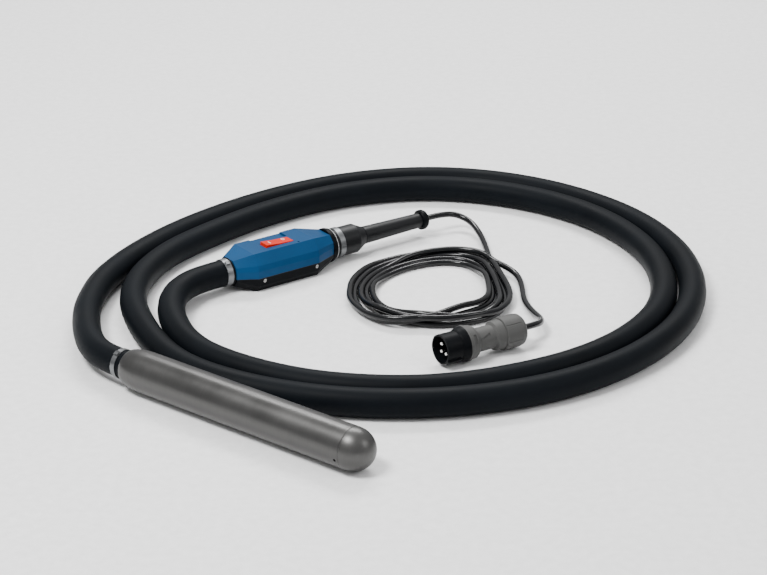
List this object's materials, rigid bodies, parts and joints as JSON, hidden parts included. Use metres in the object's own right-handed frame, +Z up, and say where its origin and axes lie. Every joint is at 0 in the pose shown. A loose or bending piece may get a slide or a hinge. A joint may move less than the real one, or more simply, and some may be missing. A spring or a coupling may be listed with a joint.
{
  "type": "concrete vibrator",
  "caption": "Internal concrete vibrator: steel poker head on a looped rubber protective hose, switch housing with rocker and cord grip, coiled supply cord and round industrial plug.",
  "frame": {"origin": "centre of the bottom of the box round the vibrating head and the switch housing with its grip, on the floor", "axes": "+Z up from the floor; +Y is the long side of that box, away from the loop's near side; +X to the right"},
  "size_m": [0.874, 0.9941, 0.057],
  "materials": {
    "steel": "satin",
    "iron": "matte",
    "bearing_steel": "polished",
    "lamination": "satin",
    "copper": "satin",
    "brass": "satin",
    "band": "satin",
    "rubber_black": "satin",
    "cover_blue": "satin",
    "rocker_red": "gloss",
    "plug_grey": "matte",
    "shell_black": "satin",
    "insulator": "matte"
  },
  "bodies": {
    "body": {"bearing_outer_rings": "bearing_steel", "boot_band": "band", "contact_block": "insulator", "contact_terminals": "brass", "cord_bush": "plug_grey", "cord_gland": "rubber_black", "cover_gasket": "rubber_black", "cover_screws": "steel", "gland_screw": "shell_black", "grip_boot": "rubber_black", "grip_end_collar": "shell_black", "head_hose_band": "band", "head_nipple": "brass", "head_o_rings": "rubber_black", "head_phase_cores": "copper", "head_tip": "steel", "head_tube": "steel", "hose_power_lead": "rubber_black", "housing_cores": "copper", "housing_locknuts": "steel", "housing_nipple": "brass", "middle_shield": "iron", "motor_leads": "copper", "nipple_locknut": "steel", "outlet_collar": "shell_black", "plug_body": "plug_grey", "plug_cord_inner": "rubber_black", "plug_cores": "copper", "plug_front_shroud": "shell_black", "plug_gland_nut": "plug_grey", "plug_gland_seal": "rubber_black", "plug_lock_ring": "plug_grey", "plug_pin_insert": "insulator", "plug_pins": "brass", "plug_terminal_screws": "brass", "preload_washer": "bearing_steel", "protective_hose": "rubber_black", "rear_shield": "iron", "rocker_pin": "steel", "side_screws": "steel", "splice_block": "insulator", "stator_core": "lamination", "stator_windings": "copper", "supply_cord_coil": "rubber_black", "supply_cord_inner": "rubber_black", "supply_cord_lead": "rubber_black", "supply_cord_tail": "rubber_black", "switch_hose_band": "band", "switch_lower_shell": "shell_black", "switch_upper_cover": "cover_blue", "thermal_cutout": "insulator"},
    "rotor": {"rotor_shaft": "steel", "rotor_core": "lamination", "eccentric_weight": "iron", "weight_bolts": "steel", "bearing_inner_rings": "bearing_steel"},
    "ball_set": {"bearing_balls": "bearing_steel", "bearing_cages": "bearing_steel"},
    "rocker": {"rocker_button": "rocker_red", "contact_bridge": "brass"}
  },
  "joints": [
    {"name": "rotor_spin", "type": "hinge", "parent": "body", "child": "rotor", "pos_m": [-0.01883, -0.2694, 0.0275], "axis": [0.7811, -0.6244, 0], "continuous": true},
    {"name": "ball_set_spin", "type": "hinge", "parent": "body", "child": "ball_set", "pos_m": [-0.01883, -0.2694, 0.0275], "axis": [0.7811, -0.6244, 0], "continuous": true},
    {"name": "rocker_tilt", "type": "hinge", "parent": "body", "child": "rocker", "pos_m": [-0.00995, 0.22195, 0.045], "axis": [0.5913, -0.8064, 0], "range_deg": [0, 8]}
  ],
  "couplings": [
    {"joint": "ball_set_spin", "follows": "rotor_spin", "ratio": 0.384}
  ]
}
